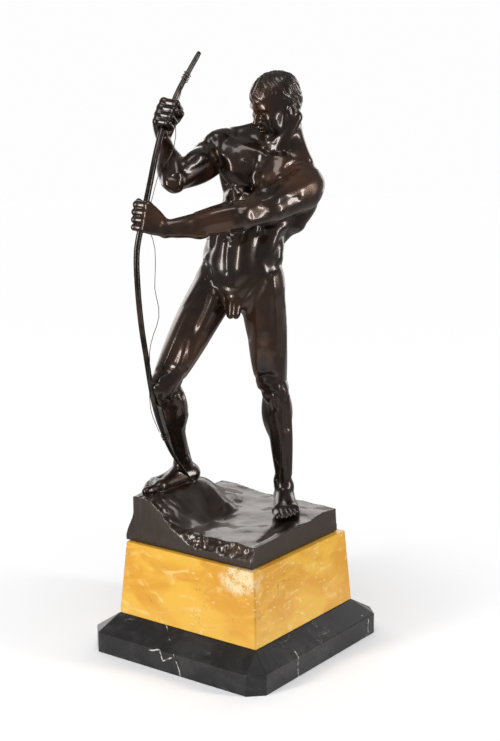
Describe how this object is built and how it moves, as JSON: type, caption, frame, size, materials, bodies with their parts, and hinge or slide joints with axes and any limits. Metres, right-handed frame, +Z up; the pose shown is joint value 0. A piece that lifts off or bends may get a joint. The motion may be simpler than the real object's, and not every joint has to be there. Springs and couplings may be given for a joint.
{
  "type": "bronze archer statue",
  "caption": "Bronze nude archer standing on a rock with a tall bow in both fists, on a yellow marble block and a black marble foot.",
  "frame": {"origin": "middle of the black marble foot's flat underside, where it rests on a table", "axes": "+Z up, -Y out of the front face (the face on the picture's left), +X out of the right-hand face; the figure's chest faces between -Y and -X"},
  "size_m": [0.19, 0.1998, 0.5317],
  "materials": {
    "bronze": "cast bronze, dark brown waxed patina",
    "bow_bronze": "bronze bar, dark brown patina, satin",
    "string_bronze": "thin dark wire",
    "siena_marble": "polished yellow marble with pale clouds and thin veins",
    "black_marble": "polished black marble with white veins"
  },
  "bodies": {
    "root": {"bronze_archer": "bronze", "bow": "bow_bronze", "bowstring": "string_bronze", "nock_winding_upper": "string_bronze", "nock_winding_lower": "string_bronze", "siena_block": "siena_marble", "black_marble_foot": "black_marble"}
  },
  "joints": []
}
